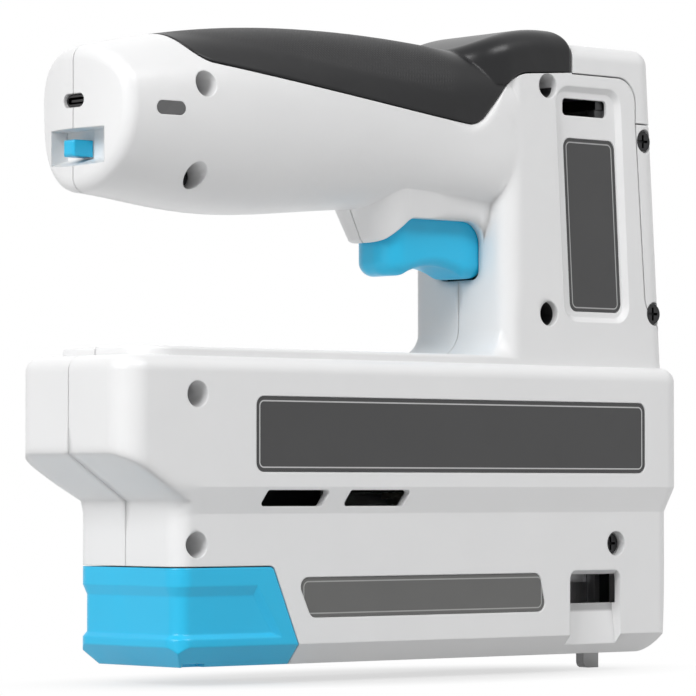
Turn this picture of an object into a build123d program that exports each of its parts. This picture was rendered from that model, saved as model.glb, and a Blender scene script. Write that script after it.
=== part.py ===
from build123d import *
import math
import os

# Cordless stapler, in millimetres. X runs to the front, Y to the left side, Z up.
# The sole lies at Z = 0, and the casing splits into two halves at Y = 0.

# Casing walls and fits
wall = 2.4
handle_wall = 4.6
handle_bore_radius = 14.4
grip_thickness = 2.2
seam_width = 0.3
seam_depth = 0.5
cover_gap = 0.4
slide_gap = 0.3
running_gap = 0.05
inner_corner = 1.0
close_to = 0.1

# Upper deck of the base
deck_rear = -100.0
deck_front = 99.3
deck_half = 23.5
deck_top = 79.8
deck_rear_radius = 7.5
deck_front_radius = 6.0
shoulder_radius = 4.0
skirt_inset = 1.0
crease_height = 46.2

# Lower block of the base, with the slope under the overhanging rear of the deck
block_rear = -81.5
block_front = 96.6
block_toe = 92.9
block_half = 21.5
block_rear_radius = 5.0
block_front_radius = 5.0
neck_height = 39.3
slope_foot = 42.5
slope_spread = 1.506
sole_bevel_width = 4.5
sole_bevel_height = 5.3
toe_radius = 7.0

# Raised spine along the deck, and the column with its head
spine_rear = -91.5
spine_top = 82.2
spine_rear_radius = 9.0
spine_edge = 1.0
column_rear = 34.8
column_half = 20.0
column_front_low = 97.2
column_front_high = 91.6
column_top = 161.4
column_rear_radius = 5.0
column_front_radius = 6.0
column_foot_radius = 8.0
head_top = 169.8
head_rear = 59.8
head_edge = 4.5

# Handle: rear end, and sections given as place, low, high, half width and squareness
handle_rear = -98.7
handle_rear_curve = 45.0
handle_rear_edge = 4.0
handle_waist = 145.0
handle_sections = [
    (-104.0, 121.4, 157.6, 18.2, 2.3),
    (-88.0, 120.9, 161.4, 19.3, 2.2),
    (-65.0, 118.3, 165.6, 20.0, 2.2),
    (-40.0, 118.5, 168.2, 20.0, 2.2),
    (-15.0, 120.7, 168.9, 19.6, 2.3),
    (10.0, 122.0, 167.9, 19.2, 2.6),
    (32.0, 122.5, 165.4, 19.8, 3.4),
    (50.0, 122.5, 163.0, 19.0, 3.6),
]

# Hood that carries the trigger under the front of the handle
hood_low = 112.3
hood_high = 143.0
hood_low_rear = -1.2
hood_high_rear = -15.0
hood_low_half = 10.4
hood_high_half = 18.4
hood_low_radius = 8.6
hood_high_radius = 15.0
hood_lip = 119.2
hood_lip_start = 6.8
hood_bump_end = 0.2
hood_lip_round = 4.0
hood_rim = 1.2
hood_corner_round = 6.4

# Grip: its lower edge on the flank, and the dome over the head
grip_rear = -75.0
grip_rear_low = 156.7
grip_valley = 24.7
grip_valley_low = 144.3
grip_rise = 38.6
grip_rise_high = 159.8
grip_rear_round = 10.0
grip_valley_round = 8.0
grip_rise_round = 11.0
dome_top = 173.2
dome_start = 22.0
dome_start_height = 165.0
dome_crest = 52.0
dome_rise = 0.5
dome_edge = 6.0
dome_plan_radius = 15.0

# Seam of the top cap and the front cover
cap_split = 148.8
cover_seam_high = 84.4
cover_seam_low = 88.2
cover_seam_turn = 97.0
cover_low = 88.4
cap_seam_radius = 7.0

# Trigger and its pin
trigger_rear = 1.6
trigger_front = 37.3
trigger_half = 8.0
trigger_low = 103.7
trigger_top = 121.1
trigger_nose_radius = 6.5
trigger_nose_round = 4.0
trigger_heel_round = 4.0
trigger_edge = 2.6
scallop_start = 8.0
scallop_end = 31.5
scallop_depth = 3.1
trigger_pin_x = 6.5
trigger_pin_z = 123.0
trigger_pin_radius = 1.5
trigger_pin_bite = 1.6
trigger_knuckle = 3.6
trigger_gap = 0.6
trigger_swing = 8.0
trigger_room = 3.2

# Screw wells in the right half, at X and Z
well_radius = 3.4
boss_radius = 4.8
well_floor = 6.0
screw_radius = 1.5
screw_head_radius = 2.8
screw_head_height = 2.2
screw_reach = 9.0
casing_wells = [
    (-76.4, 69.9),
    (-75.0, 31.4),
    (50.2, 157.2),
    (50.5, 94.1),
    (-70.5, 149.9),
    (-70.5, 126.6),
]
block_well = (74.7, 30.5)
cover_wells = [(88.2, 143.9), (92.0, 95.2)]
cover_well_floor = 16.7
cover_boss_radius = 4.4
cover_boss_floor = 15.5
cover_post_depth = 8.5
cover_post_web = 1.4
block_well_floor = 17.0

# Vents under the side crease, and the bare plates let into the right side
vent_starts = [-54.9, -26.6]
vent_length = 23.4
vent_low = 41.2
vent_height = 4.2
plate_thickness = 0.4
plate_recess = 0.6
side_plate_rear = -56.9
side_plate_front = 84.2
side_plate_low = 50.2
side_plate_high = 69.6
rating_plate_rear = -41.7
rating_plate_front = 47.8
rating_plate_low = 12.2
rating_plate_high = 22.5
rating_plate_slant = 5.0
plate_corner = 2.5

# Recessed panel on the side of the column, with its slot and plate
panel_rear = 52.9
panel_front = 78.2
panel_low = 92.1
panel_high = 157.7
panel_lean = 3.7
panel_depth = 1.4
panel_corner = 5.0
panel_slot_high = 154.4
panel_slot_low = 149.6
panel_slot_rear = 57.0
panel_slot_front = 74.0
column_plate_rear = 57.3
column_plate_front = 77.0
column_plate_low = 95.2
column_plate_high = 143.2

# Scoop window low on the side of the block
scoop_rear = 56.9
scoop_front = 76.4
scoop_high = 23.2
scoop_window_low = 12.2
scoop_ramp_low = 2.6
scoop_depth = 3.6
scoop_corner = 2.5

# Charging socket, power slider and its pocket on the rear end
socket_height = 145.2
socket_half = 3.9
socket_thickness = 2.8
socket_length = 8.0
socket_clearance = 0.4
pocket_half = 11.2
pocket_low = 128.6
pocket_high = 138.0
pocket_floor = -92.0
pocket_back = 2.4
pocket_slope = 2.0
knob_width = 4.4
knob_height = 4.3
knob_middle = 133.1
knob_proud = -98.6
knob_stem = 2.4
slider_travel = 4.4

# Charge light on the right flank
light_x = -82.0
light_z = 143.0
light_length = 9.0
light_width = 3.4
light_depth = 3.0

# Battery, board and switches
battery_radius = 9.2
battery_length = 65.0
battery_rear = -62.0
battery_height = 143.4
contact_thickness = 1.2
bulkhead = 2.0
board_thickness = 1.6
board_half = 12.5
board_front = -67.5
board_setback = 2.4
ledge_inner = 10.8
ledge_depth = 3.0
rib_thickness = 2.0
battery_rib_places = [-55.0, -30.0, -5.0]
battery_fit = 0.1
contact_radius = 7.0
power_switch_depth = 6.5
power_switch_half = 8.0
power_switch_low = 130.6
trigger_switch_rear = 19.0
trigger_switch_length = 14.0
trigger_switch_half = 5.5
trigger_switch_low = 128.9
trigger_switch_height = 10.0
plunger_radius = 1.7
plunger_x = 26.0
plunger_top = 133.0
plunger_flange_radius = 3.0
plunger_flange_height = 1.0
trigger_spring_radius = 2.3
trigger_spring_wire = 0.5
trigger_spring_turns = 5
switch_ledge = 1.5
switch_clamp_inset = 1.0

# Gear train: teeth, modules and places
pressure_angle = 25.0
addendum = 0.75
dedendum = 1.0
backlash = 0.16
sector_teeth = 18
sector_module = 1.25
sector_kept = 6
drive_teeth = 36
idler_small_teeth = 11
drive_module = 1.0
idler_large_teeth = 40
pinion_teeth = 10
pinion_module = 0.8
centre_spare = 0.08
rack_line = 64.5
rack_teeth = 6
drive_z = 66.0
idler_drop = 10.0
motor_rise = 4.0
gear_width = 4.0
sector_half_width = 5.0
drive_gear_low = 8.0
idler_gear_low = 13.2
drive_axle_radius = 2.5
idler_axle_radius = 2.0
gear_plate_thickness = 2.0
right_plate_y = -12.0
left_plate_y = 18.4
gear_plate_low = 47.0
gear_plate_high = 76.5
gear_plate_margin = 6.0
gear_plate_corner = 3.0
gear_shelf = 1.8
hub_radius = 5.0

# Motor
motor_radius = 12.2
motor_low = -18.6
motor_length = 28.2
motor_shell = 1.6
motor_shaft_radius = 1.15
armature_radius = 8.5
motor_boss_radius = 4.0
motor_boss = 1.6
motor_ring = 3.0
motor_rib_right = -16.0
motor_rib_left = 4.0
motor_rib_thickness = 2.5

# Hammer, driver blade, spring and guides
driver_x = 78.0
driver_thickness = 1.2
driver_width = 10.8
driver_tip = 0.6
hammer_front = 87.6
hammer_half = 7.0
hammer_low = 46.0
hammer_high = 78.0
crosshead_half = 15.2
crosshead_height = 12.0
crosshead_depth = 10.0
rod_x = 80.0
rod_y = 11.2
rod_radius = 2.5
spring_radius = 7.0
spring_wire = 1.1
spring_turns = 11
spring_seat_low = 152.0
spring_seat_thickness = 3.0
bumper_radius = 3.7
guide_block_low = 27.5
guide_block_high = 33.5
guide_block_rear = 67.5
guide_block_front = 89.5
guide_block_half = 15.0
nose_plate_thickness = 1.8
nose_plate_half = 8.8
guide_shelf = 2.2
seat_rear = 71.0
seat_front = 89.3
seat_ledge = 2.5

# Magazine: channel, pusher and end cap
channel_half = 7.4
channel_sheet = 0.9
channel_low = 2.7
channel_high = 19.5
channel_rear = -70.0
pusher_length = 11.0
pusher_height = 13.0
coil_radius = 4.6
coil_bore = 2.4
coil_width = 7.0
end_cap_top = 25.5
end_cap_front_high = -49.8
end_cap_front_low = -41.2
end_cap_wall = 2.6
end_cap_core_front = -52.0
end_cap_corner = 2.0
groove_high = 20.8
groove_low = 7.2
groove_depth = 1.1
groove_slope = 2.6
groove_margin = 5.2
pad_notch_depth = 0.9
pad_notch_width = 7.0
pad_notch_x = -73.0

# Contact foot and its spring
foot_rear = 81.3
foot_front = 87.2
foot_half = 1.5
foot_reach = 5.0
foot_body_half = 4.0
foot_body_top = 18.0
foot_spring_radius = 2.4
foot_spring_wire = 0.45
foot_spring_turns = 5
foot_rib = 1.8

# Glide pad let into the sole
pad_rear = -36.0
pad_front = 70.0
pad_half = 11.0
pad_thickness = 0.8
pad_corner = 3.0
pad_gap = 0.15


def face_of(points):
    """Closed outline of straight runs."""
    return make_face(Polyline(*points, close=True))


def across(outline, y_low, y_high):
    """Run an outline drawn in X and Z across the part, from y_low to y_high."""
    return extrude(Plane.XZ.offset(-y_high) * outline, y_high - y_low)


def along(outline, x_low, x_high):
    """Run an outline drawn in Y and Z along the part, from x_low to x_high."""
    return extrude(Plane.YZ.offset(x_low) * outline, x_high - x_low)


def upright(outline, z_low, z_high):
    """Raise an outline drawn in X and Y from z_low to z_high."""
    return extrude(Pos(0, 0, z_low) * outline, z_high - z_low)


def box(x_low, x_high, y_low, y_high, z_low, z_high):
    """Box between two corners."""
    size = Box(x_high - x_low, y_high - y_low, z_high - z_low)
    return Pos((x_low + x_high) / 2, (y_low + y_high) / 2, (z_low + z_high) / 2) * size


def cross_rod(x, z, radius, y_low, y_high):
    """Round bar along Y."""
    return across(Pos(x, z) * Circle(radius), y_low, y_high)


def post(x, y, radius, z_low, z_high):
    """Round bar along Z."""
    return upright(Pos(x, y) * Circle(radius), z_low, z_high)


def plan(x_rear, x_front, half, rear_radius, front_radius):
    """Rectangle seen from above, with its rear and front corners rounded."""
    outline = Pos((x_rear + x_front) / 2, 0) * Rectangle(x_front - x_rear, 2 * half)
    outline = fillet(outline.vertices().sort_by(Axis.X)[:2], rear_radius)
    return fillet(outline.vertices().sort_by(Axis.X)[-2:], front_radius)


def rounded(points, radius):
    """Closed outline of straight runs with every corner rounded alike."""
    outline = face_of(points)
    return fillet(outline.vertices(), radius)


reach = 300.0


def slab(y_low, y_high):
    """Everything between two planes across the part."""
    return box(-reach, reach, y_low, y_high, -reach, reach)


# Forms of the casing, each drawn at its outer skin or set in by a wall

def deck_form(inset=0.0):
    """Upper deck: overhangs the block, with a slope that wraps round its rear corners."""
    half = deck_half - inset
    neck_half = block_half - inset
    outline = plan(deck_rear + inset, deck_front - inset, half,
                   deck_rear_radius - inset, deck_front_radius - inset)
    neck = plan(deck_rear + inset, block_front - inset, neck_half,
                deck_rear_radius - inset, block_front_radius - inset)
    solid = upright(outline, crease_height, deck_top - inset)
    if inset == 0.0:
        solid = fillet(solid.edges().group_by(Axis.Z)[-1], shoulder_radius)
    solid = solid + loft([Pos(0, 0, neck_height) * neck, Pos(0, 0, crease_height) * outline], ruled=True)
    rise = deck_top - slope_foot
    spread = slope_spread * rise
    skirt_half = deck_half - skirt_inset - inset
    low = plan(block_rear + inset, deck_front + wall, skirt_half, block_rear_radius, deck_front_radius)
    high = plan(block_rear + inset - spread, deck_front + wall + spread, skirt_half + spread,
                block_rear_radius + spread, deck_front_radius + spread)
    floor = slope_foot + inset / 2
    slope = loft([Pos(0, 0, floor) * low, Pos(0, 0, floor + rise) * high], ruled=True)
    under = plan(block_rear + inset, deck_front + wall, neck_half, block_rear_radius, deck_front_radius)
    skirt = loft([Pos(0, 0, neck_height) * under, Pos(0, 0, floor) * low], ruled=True)
    return solid & (slope + skirt)


def block_form(inset=0.0):
    """Lower block: bevelled along the sole, with a leaning front and a rounded toe."""
    half = block_half - inset
    outline = plan(block_rear + inset, block_front - inset, half,
                   block_rear_radius - inset, block_front_radius - inset)
    solid = upright(outline, inset, crease_height)
    section = face_of([
        (-half, crease_height), (half, crease_height), (half, sole_bevel_height),
        (half - sole_bevel_width, inset), (-half + sole_bevel_width, inset), (-half, sole_bevel_height),
    ])
    solid = solid & along(section, -reach, reach)
    side = face_of([
        (block_rear + inset, crease_height), (block_front - inset, crease_height),
        (block_front - inset, neck_height),
        (block_toe - inset, inset), (block_rear + inset + sole_bevel_width, inset),
        (block_rear + inset, sole_bevel_height),
    ])
    toe = side.vertices().sort_by_distance((block_toe - inset, inset, 0))[0]
    side = fillet([toe], toe_radius - inset)
    return solid & across(side, -half - wall, half + wall)


def tower_form(inset=0.0):
    """Column and head: straight at the rear, leaning back at the front."""
    lean = (column_front_low - column_front_high) / (head_top - deck_top)
    foot = deck_top - shoulder_radius - wall
    front_foot = column_front_low + lean * (deck_top - foot) - inset
    front_head = column_front_high + lean * inset - inset
    side = face_of([
        (column_rear + inset, foot), (front_foot, foot), (front_head, head_top - inset),
        (head_rear + inset, head_top - inset), (head_rear + inset, column_top - inset),
        (column_rear + inset, column_top - inset),
    ])
    half = column_half - inset
    solid = across(side, -half, half)
    if inset > 0.0:
        return solid
    upright_edges = solid.edges().filter_by(lambda edge: edge.length > column_top - deck_top)
    rear_edges = upright_edges.filter_by(lambda edge: edge.center().X < head_rear)
    solid = fillet(rear_edges, column_rear_radius)
    upright_edges = solid.edges().filter_by(lambda edge: edge.length > head_top - deck_top)
    front_edges = upright_edges.filter_by(lambda edge: edge.center().X > head_rear)
    front_edges = front_edges.filter_by(lambda edge: abs(edge.center().Y) > column_half - inner_corner)
    solid = fillet(front_edges, column_front_radius)
    top_edges = solid.edges().group_by(Axis.Z)[-1]
    top_edges = top_edges.filter_by(lambda edge: edge.center().X > head_rear + inner_corner)
    return fillet(top_edges, head_edge)


def spine_form():
    """Low raised spine along the deck, as wide as the column that grows from it."""
    foot = deck_top - shoulder_radius - wall
    outline = plan(spine_rear, column_rear + column_rear_radius * 2, column_half, spine_rear_radius, spine_edge)
    solid = upright(outline, foot, spine_top)
    return fillet(solid.edges().group_by(Axis.Z)[-1], spine_edge)


def handle_section(place, low, high, half, squareness, inset):
    """Egg-shaped section across the handle."""
    points = []
    count = 16
    for step in range(count):
        turn = 2 * math.pi * step / count
        side = math.copysign(abs(math.cos(turn)) ** (2 / squareness), math.cos(turn))
        rise = math.copysign(abs(math.sin(turn)) ** (2 / squareness), math.sin(turn))
        height = high - inset - handle_waist if rise > 0 else handle_waist - low - inset
        points.append((side * (half - inset), handle_waist + rise * height))
    return Plane.YZ.offset(place) * make_face(Spline(*points, periodic=True))


def handle_form(inset=0.0):
    """Handle: a loft along X, closed at the rear by a gently curved face."""
    sections = []
    for place, low, high, half, squareness in handle_sections:
        sections.append(handle_section(place, low, high, half, squareness, inset))
    solid = loft(sections)
    radius = handle_rear_curve
    rear = handle_rear + inset
    limit = post(rear + radius, 0, radius, -reach, reach)
    limit = limit + box(rear + radius, reach, -reach, reach, -reach, reach)
    solid = solid & limit
    if inset == 0.0:
        rear_edges = solid.edges().filter_by(lambda edge: edge.center().X < handle_rear + radius / 4)
        solid = fillet(rear_edges, handle_rear_edge)
    return solid


def hood_form():
    """Hood: narrow at the trigger and widening up to the flanks of the handle."""
    inner = column_rear + column_rear_radius * 2
    low = plan(hood_low_rear, inner, hood_low_half, hood_low_radius, inner_corner)
    high = plan(hood_high_rear, inner, hood_high_half, hood_high_radius, inner_corner)
    rim = plan(hood_low_rear + hood_rim, inner, hood_low_half - hood_rim,
               hood_low_radius - hood_rim, inner_corner)
    rings = [Pos(0, 0, hood_low) * rim, Pos(0, 0, hood_low + hood_rim) * low, Pos(0, 0, hood_high) * high]
    solid = loft(rings, ruled=True)
    lip = face_of([
        (hood_high_rear, hood_low - wall), (hood_high_rear, hood_low), (hood_bump_end, hood_low),
        (hood_lip_start, hood_lip), (column_rear, hood_lip), (column_rear, hood_low - wall),
    ])
    rounds = ((hood_bump_end, hood_low, hood_lip_round), (hood_lip_start, hood_lip, hood_lip_round),
              (column_rear, hood_lip, hood_corner_round))
    for x, z, radius in rounds:
        lip = fillet(lip.vertices().sort_by_distance((x, z, 0))[:1], radius)
    return solid - across(lip, -column_half, column_half)


def dome_form(inset=0.0):
    """Dome of the grip over the rear of the head: a lobe that rises to the front."""
    front = head_rear - cover_gap - inset
    top = dome_top - inset
    back = Spline((dome_start + inset, dome_start_height - inset), (dome_crest, top),
                  tangents=((1, dome_rise), (1, 0)))
    foot = column_top - 2 * wall
    rest = Polyline((dome_crest, top), (front, top), (front, foot), (dome_start + inset, foot),
                    (dome_start + inset, dome_start_height - inset))
    side = make_face(Curve() + [back, rest])
    half = column_half - inset
    lobe = plan(dome_start + inset, front, half, dome_plan_radius - inset, inner_corner)
    solid = across(side, -half, half) & upright(lobe, foot, dome_top + wall)
    if inset > 0.0:
        return solid
    crown = solid.edges().filter_by(lambda edge: edge.center().Z > column_top + dome_edge / 2)
    crown = crown.filter_by(lambda edge: edge.center().X < front - 2 * inner_corner)
    return fillet(crown, dome_edge)


def grip_region(shrink=0.0):
    """Side outline of all that the grip covers."""
    sky = dome_top + wall
    points = [
        (grip_rear, sky), (grip_rear, grip_rear_low), (grip_valley, grip_valley_low),
        (grip_rise, grip_rise_high), (head_rear, column_top), (head_rear, sky),
    ]
    outline = face_of(points)
    rounds = ((points[1], grip_rear_round), (points[2], grip_valley_round), (points[3], grip_rise_round))
    for corner, radius in rounds:
        outline = fillet(outline.vertices().sort_by_distance((corner[0], corner[1], 0))[:1], radius)
    if shrink != 0.0:
        outline = offset(outline, -shrink)
    return across(outline, -reach, reach)


def cap_region(grow=0.0):
    """Side outline of all that the top cap covers."""
    outline = face_of([
        (head_rear - grow, column_top - grow), (cover_seam_high - grow, column_top - grow),
        (cover_seam_high - grow, cap_split - grow), (reach, cap_split - grow),
        (reach, reach), (head_rear - grow, reach),
    ])
    corner = (cover_seam_high - grow, column_top - grow, 0)
    outline = fillet(outline.vertices().sort_by_distance(corner)[:1], cap_seam_radius)
    return across(outline, -reach, reach)


def cover_region(grow=0.0):
    """Side outline of all that the front cover covers."""
    outline = face_of([
        (cover_seam_high - grow, cap_split), (cover_seam_low - grow, cover_seam_turn),
        (cover_seam_low + cover_seam_turn - cover_low - grow, cover_low - grow),
        (reach, cover_low - grow), (reach, cap_split),
    ])
    corner = (cover_seam_low - grow, cover_seam_turn, 0)
    outline = fillet(outline.vertices().sort_by_distance(corner)[:1], cap_seam_radius)
    return across(outline, -reach, reach)


def end_cap_region(grow=0.0):
    """Side outline of all that the magazine end cap covers."""
    rear = block_rear - 2 * wall
    outline = face_of([
        (rear, -wall), (rear, end_cap_top + grow), (end_cap_front_high + grow, end_cap_top + grow),
        (end_cap_front_low + grow, sole_bevel_height), (end_cap_front_low + grow, -wall),
    ])
    corner = (end_cap_front_high + grow, end_cap_top + grow, 0)
    outline = fillet(outline.vertices().sort_by_distance(corner)[:1], end_cap_corner)
    return across(outline, -reach, reach)


def both_sides(solid):
    """The solid and its mirror image on the other side."""
    return solid + mirror(solid, Plane.XZ)


# Places that several pieces share
slot_half = trigger_half + slide_gap
slot_top = trigger_switch_low - switch_ledge
board_top = socket_height - socket_thickness / 2
board_low = board_top - board_thickness
board_rear = handle_rear + handle_wall + board_setback
battery_front = battery_rear + battery_length
contact_rear_x = battery_rear - contact_thickness
contact_front_x = battery_front + contact_thickness
switch_rear = pocket_floor + pocket_back
drive_x = rack_line - sector_teeth * sector_module / 2
drive_to_idler = (drive_teeth + idler_small_teeth) / 2 * drive_module + centre_spare
idler_z = drive_z - idler_drop
idler_x = drive_x - math.sqrt(drive_to_idler ** 2 - idler_drop ** 2)
idler_to_motor = (idler_large_teeth + pinion_teeth) / 2 * pinion_module + centre_spare
motor_z = idler_z + motor_rise
motor_x = idler_x - math.sqrt(idler_to_motor ** 2 - motor_rise ** 2)
motor_high = motor_low + motor_length
plate_rear = idler_x - gear_plate_margin
plate_front = drive_x + gear_plate_margin
channel_outer = channel_half + slide_gap
channel_front = driver_x - driver_thickness / 2 - slide_gap
nose_rear = driver_x + driver_thickness / 2 + slide_gap / 2
nose_front = nose_rear + nose_plate_thickness
pin_half = trigger_half + trigger_pin_bite


def side_plate_outline(gap=0.0):
    """Outline of the long bare plate on the side of the deck."""
    return rounded([
        (side_plate_rear - gap, side_plate_low - gap), (side_plate_front + gap, side_plate_low - gap),
        (side_plate_front + gap, side_plate_high + gap), (side_plate_rear - gap, side_plate_high + gap),
    ], plate_corner)


def rating_plate_outline(gap=0.0):
    """Outline of the bare plate on the side of the block, with slanted ends."""
    return rounded([
        (rating_plate_rear + rating_plate_slant - gap, rating_plate_low - gap),
        (rating_plate_front + gap, rating_plate_low - gap),
        (rating_plate_front - rating_plate_slant / 2 + gap, rating_plate_high + gap),
        (rating_plate_rear - gap, rating_plate_high + gap),
    ], plate_corner)


def column_plate_outline(gap=0.0):
    """Outline of the bare plate in the panel of the column."""
    lean = panel_lean * (column_plate_high - column_plate_low) / (panel_high - panel_low)
    return rounded([
        (column_plate_rear + lean - gap, column_plate_low - gap),
        (column_plate_front + lean + gap, column_plate_low - gap),
        (column_plate_front + gap, column_plate_high + gap), (column_plate_rear - gap, column_plate_high + gap),
    ], plate_corner)


def panel_outline(inset):
    """Outline of the panel recess in the column."""
    return rounded([
        (panel_rear + panel_lean + inset, panel_low + inset),
        (panel_front + panel_lean - inset, panel_low + inset),
        (panel_front - inset, panel_high - inset), (panel_rear + inset, panel_high - inset),
    ], panel_corner - inset)


def light_outline(gap=0.0):
    """Pill-shaped outline of the charge light."""
    return Pos(light_x, light_z) * SlotOverall(light_length + 2 * gap, light_width + 2 * gap)


# Outer skin and the hollow inside it
deck = deck_form()
block = block_form()
tower = tower_form() - grip_region()
handle = handle_form()
handle_core = handle_form(grip_thickness)
tower_hollow = tower_form(wall) - grip_region(-wall)
base_and_tower = deck + block + spine_form() + tower
foot_edges = base_and_tower.edges().filter_by(lambda edge: abs(edge.center().Z - spine_top) < close_to)
foot_edges = foot_edges.filter_by(lambda edge: abs(edge.center().X - column_rear) < close_to)
base_and_tower = fillet(foot_edges, column_foot_radius)
grip_cut = (handle & grip_region()) - handle_core
outer = base_and_tower + (handle - grip_cut) + hood_form()
handle_bore = along(Pos(0, battery_height) * Circle(handle_bore_radius), handle_rear + handle_wall,
                    column_rear + 2 * wall)
hollow = deck_form(wall) + block_form(wall) + tower_hollow + handle_bore

# Ribs, ledges, rings and bosses that hold the pieces inside the casing
ribs = []
for place in battery_rib_places:
    ribs.append(box(place, place + rib_thickness, -column_half, column_half, hood_low, dome_top))
ribs.append(box(contact_rear_x - bulkhead, contact_rear_x, -column_half, column_half, hood_low, dome_top))
ribs.append(box(contact_front_x, contact_front_x + bulkhead, -column_half, column_half, slot_top, dome_top))
ribs.append(both_sides(box(board_rear + board_setback, board_front, ledge_inner, column_half,
                           board_low - ledge_depth, board_low)))
ribs.append(box(handle_rear, switch_rear, -pocket_half - wall, pocket_half + wall,
                pocket_low - pocket_slope - wall, pocket_high + wall))
clamp_rear = trigger_switch_rear + switch_clamp_inset
clamp_front = trigger_switch_rear + trigger_switch_length - switch_clamp_inset
clamp_top = trigger_switch_low + trigger_switch_height + rib_thickness
for place in (clamp_rear, clamp_front - rib_thickness):
    ribs.append(box(place, place + rib_thickness, -column_half, column_half, slot_top, clamp_top))
ring_half = motor_radius + motor_ring
for place in (motor_rib_right, motor_rib_left):
    ribs.append(box(motor_x - ring_half, motor_x + ring_half, place, place + motor_rib_thickness,
                    motor_z - ring_half, deck_top - seam_depth))
shelf_rear = plate_rear + gear_plate_corner
shelf_front = plate_front - gear_plate_corner
shelf_low = gear_plate_low - gear_shelf
ribs.append(box(shelf_rear, shelf_front, -deck_half, right_plate_y + gear_plate_thickness,
                shelf_low, gear_plate_low))
ribs.append(box(shelf_rear, shelf_front, left_plate_y - seam_depth, deck_half, shelf_low, gear_plate_low))
seat_shelf = spring_seat_low - seat_ledge
seat_shelf_front = cover_seam_high - wall
ribs.append(both_sides(box(seat_rear, seat_shelf_front, rod_y + rod_radius + seam_depth, column_half,
                           seat_shelf, spring_seat_low)))
ribs.append(both_sides(box(guide_block_rear, guide_block_front, nose_plate_half + slide_gap, block_half,
                           guide_block_low - guide_shelf, guide_block_low)))
ribs.append(both_sides(box(pad_rear, guide_block_rear, channel_outer, channel_outer + rib_thickness,
                           wall / 2, channel_high - channel_half)))
foot_outer = foot_body_half + slide_gap
foot_guide_top = guide_block_low - guide_shelf - seam_depth
ribs.append(both_sides(box(nose_front + slide_gap, foot_front + slide_gap + foot_rib, foot_outer,
                           foot_outer + foot_rib, wall / 2, foot_guide_top)))
ribs.append(box(foot_front + slide_gap, foot_front + slide_gap + foot_rib, -foot_outer, foot_outer,
                wall / 2, foot_guide_top))
ribs.append(both_sides(box(scoop_rear - foot_rib, scoop_front + foot_rib, channel_outer * 2, block_half,
                           wall / 2, scoop_window_low + foot_rib)))
for x, z in casing_wells:
    ribs.append(cross_rod(x, z, boss_radius, -deck_half, deck_half))
ribs.append(cross_rod(*block_well, boss_radius, -block_half, -guide_block_half))
vent_front = vent_starts[-1] + vent_length
ribs.append(box(vent_starts[0] - rib_thickness, vent_front + rib_thickness, block_half - 2 * wall, deck_half,
                vent_low - rib_thickness, vent_low + vent_height + rib_thickness))
cavity = hollow - ribs

# Cuts through the casing
cuts = []
for x, z in casing_wells:
    cuts.append(cross_rod(x, z, well_radius, -deck_half - wall, -well_floor))
    cuts.append(cross_rod(x, z, screw_radius, -well_floor - wall, screw_reach))
cuts.append(cross_rod(*block_well, well_radius, -deck_half, -block_well_floor))
cuts.append(cross_rod(*block_well, screw_radius, -block_well_floor - wall, -guide_block_half + wall))
battery_bore = Pos(0, battery_height) * Circle(battery_radius + battery_fit)
cuts.append(along(battery_bore, contact_rear_x, contact_front_x))
cuts.append(cross_rod(motor_x, motor_z, motor_radius, motor_low, motor_high))
cuts.append(box(trigger_switch_rear, trigger_switch_rear + trigger_switch_length, -trigger_switch_half,
                trigger_switch_half, trigger_switch_low, trigger_switch_low + trigger_switch_height))
slot_plan = plan(trigger_rear - 2 * slide_gap, trigger_front + trigger_room, slot_half,
                 trigger_nose_radius + seam_depth, inner_corner)
slot_section = face_of([
    (-slot_half, trigger_low - slide_gap), (slot_half, trigger_low - slide_gap),
    (slot_half, slot_top), (-slot_half, slot_top),
])
slot_section = fillet(slot_section.vertices().group_by(Axis.Y)[0], trigger_edge)
cuts.append(upright(slot_plan, trigger_low - slide_gap, slot_top) & along(slot_section, -reach, reach))
cuts.append(post(plunger_x, 0, plunger_flange_radius + slide_gap, trigger_low, trigger_switch_low))
cuts.append(box(switch_rear, switch_rear + power_switch_depth, -power_switch_half, power_switch_half,
                power_switch_low, board_low))
cuts.append(cross_rod(trigger_pin_x, trigger_pin_z, trigger_pin_radius, -pin_half, pin_half))
slot_width = socket_half + socket_clearance
slot_rise = socket_thickness / 2 + socket_clearance
cuts.append(along(Pos(0, socket_height) * SlotOverall(2 * slot_width, 2 * slot_rise), handle_rear - wall,
                  board_rear + board_setback))
pocket_outline = face_of([
    (handle_rear - wall, pocket_high), (pocket_floor, pocket_high), (pocket_floor, pocket_low + pocket_slope),
    (handle_rear - wall, pocket_low - pocket_slope / 2),
])
cuts.append(across(pocket_outline, -pocket_half, pocket_half))
stem_middle = knob_width / 2
stem_half = knob_stem / 2
cuts.append(box(pocket_floor - wall, switch_rear, stem_middle - stem_half - slide_gap,
                stem_middle + stem_half + slider_travel + slide_gap, knob_middle - stem_half - slide_gap,
                knob_middle + stem_half + slide_gap))
for start in vent_starts:
    vent = face_of([
        (start, vent_low), (start + vent_length - vent_height / 2, vent_low),
        (start + vent_length, vent_low + vent_height), (start + vent_height / 2, vent_low + vent_height),
    ])
    vent = fillet(vent.vertices(), vent_height / 5)
    cuts.append(across(vent, -deck_half - wall, -block_half + 2 * wall))
    cuts.append(across(vent, block_half - wall + seam_depth, deck_half + wall))
cuts.append(across(side_plate_outline(pad_gap), -deck_half - wall, -deck_half + plate_recess))
cuts.append(across(rating_plate_outline(pad_gap), -block_half - wall, -block_half + plate_recess))
panel_top = Plane.XZ.offset(column_half + seam_depth) * panel_outline(-seam_depth)
panel_floor = Plane.XZ.offset(column_half - panel_depth) * panel_outline(panel_depth)
cuts.append(both_sides(loft([panel_top, panel_floor], ruled=True)))
cuts.append(across(column_plate_outline(pad_gap), -column_half, -column_half + panel_depth + plate_recess))
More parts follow.
